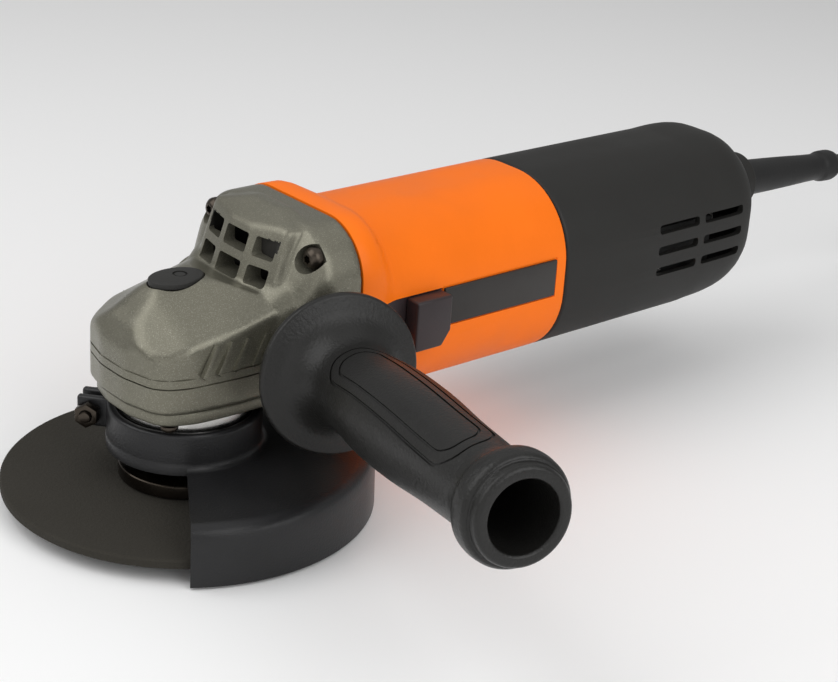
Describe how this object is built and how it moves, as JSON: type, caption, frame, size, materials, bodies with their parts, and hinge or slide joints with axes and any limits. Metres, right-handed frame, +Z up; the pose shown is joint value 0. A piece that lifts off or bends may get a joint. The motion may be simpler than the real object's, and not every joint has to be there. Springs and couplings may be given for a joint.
{
  "type": "angle grinder",
  "caption": "Corded angle grinder with bevel-gear head, guarded abrasive disc, spindle lock, slide switch and an angled side handle, drawn with its motor and gear train inside",
  "frame": {"origin": "Middle of the base of the whole tool (cord, coil and plug left out), on the plane of the guard rim", "axes": "+Z up along the spindle, +Y from the gear head to the tail, +X towards the side handle"},
  "size_m": [0.2222, 0.5809, 0.0924],
  "materials": {
    "housing_metal": "warm grey metallic flake paint on die-cast alloy, satin",
    "orange_plastic": "orange moulded plastic, satin",
    "black_plastic": "near-black moulded plastic, fine matte grain",
    "grip_plastic": "dark grey moulded plastic, grained",
    "guard_steel": "black powder-coated pressed steel",
    "bright_steel": "turned and ground steel",
    "dark_steel": "black-oxide steel",
    "abrasive": "resin-bonded abrasive grit",
    "copper": "copper, varnished on the windings",
    "lamination": "stacked electrical steel sheets",
    "brass": "plain brass or bronze",
    "carbon": "pressed carbon",
    "white_plastic": "off-white moulded plastic",
    "rubber": "black flexible rubber or PVC"
  },
  "bodies": {
    "housing": {"gear_housing": "housing_metal", "bearing_box": "housing_metal", "motor_housing": "orange_plastic", "fan_baffle": "black_plastic", "rear_cover": "black_plastic", "switch_body": "black_plastic", "name_plate": "black_plastic", "spindle_lock_spring": "bright_steel", "spindle_bearing_outer": "bright_steel", "armature_bearing_front_outer": "bright_steel", "armature_bearing_rear_outer": "bright_steel", "gear_housing_screw_1": "dark_steel", "gear_housing_screw_2": "dark_steel", "gear_housing_screw_3": "dark_steel", "gear_housing_screw_4": "dark_steel", "bearing_box_screw_1": "dark_steel", "bearing_box_screw_2": "dark_steel", "bearing_box_screw_3": "dark_steel", "bearing_box_screw_4": "dark_steel", "bearing_retainer": "dark_steel", "rear_cover_screw": "dark_steel", "field_coil_upper": "copper", "field_coil_lower": "copper", "stator_core": "lamination", "spindle_top_bush": "brass", "brush_holder_left": "brass", "brush_holder_right": "brass", "carbon_brush_left": "carbon", "carbon_brush_right": "carbon", "cord_clamp": "white_plastic", "cord_guard": "rubber", "power_cord": "rubber", "cord_coil": "rubber", "plug": "rubber"},
    "armature": {"armature_shaft": "bright_steel", "pinion_gear": "bright_steel", "armature_bearing_front_inner": "bright_steel", "armature_bearing_rear_inner": "bright_steel", "armature_core": "lamination", "armature_winding_front": "copper", "armature_winding_rear": "copper", "commutator": "copper", "cooling_fan": "black_plastic"},
    "spindle": {"spindle": "bright_steel", "driven_gear": "dark_steel", "spindle_bearing_inner": "bright_steel", "inner_flange": "dark_steel", "grinding_disc": "abrasive", "lock_nut": "dark_steel"},
    "guard": {"wheel_guard": "guard_steel", "guard_clamp_screw": "dark_steel", "guard_clamp_nut": "dark_steel"},
    "spindle_lock": {"spindle_lock_button": "black_plastic"},
    "switch": {"switch_slider": "black_plastic", "switch_rod": "bright_steel"},
    "side_handle": {"side_handle_grip": "grip_plastic", "side_handle_stud": "bright_steel"}
  },
  "joints": [
    {"name": "armature_spin", "type": "hinge", "parent": "housing", "child": "armature", "pos_m": [-0.05355, -0.06749, 0.0556], "axis": [0, 1, 0], "continuous": true},
    {"name": "spindle_spin", "type": "hinge", "parent": "housing", "child": "spindle", "pos_m": [-0.05355, -0.12749, 0.03], "axis": [0, 0, 1], "continuous": true},
    {"name": "guard_turn", "type": "hinge", "parent": "housing", "child": "guard", "pos_m": [-0.05355, -0.12749, 0.025], "axis": [0, 0, 1], "range_deg": [-60, 90]},
    {"name": "spindle_lock_press", "type": "slide", "parent": "housing", "child": "spindle_lock", "axis": [0, 0, -1], "range_m": [0, 0.0036], "stiffness_N_per_m": 400, "springref_m": -0.003, "deforming": ["spindle_lock_spring"]},
    {"name": "switch_slide", "type": "slide", "parent": "housing", "child": "switch", "axis": [0, -1, 0], "range_m": [0, 0.007]},
    {"name": "side_handle_turn", "type": "hinge", "parent": "housing", "child": "side_handle", "pos_m": [-0.05355, -0.09219, 0.0492], "axis": [0.9611, -0.2575, 0.0993], "range_deg": [0, 180]}
  ],
  "couplings": [
    {"joint": "spindle_spin", "follows": "armature_spin", "ratio": 0.33333}
  ]
}
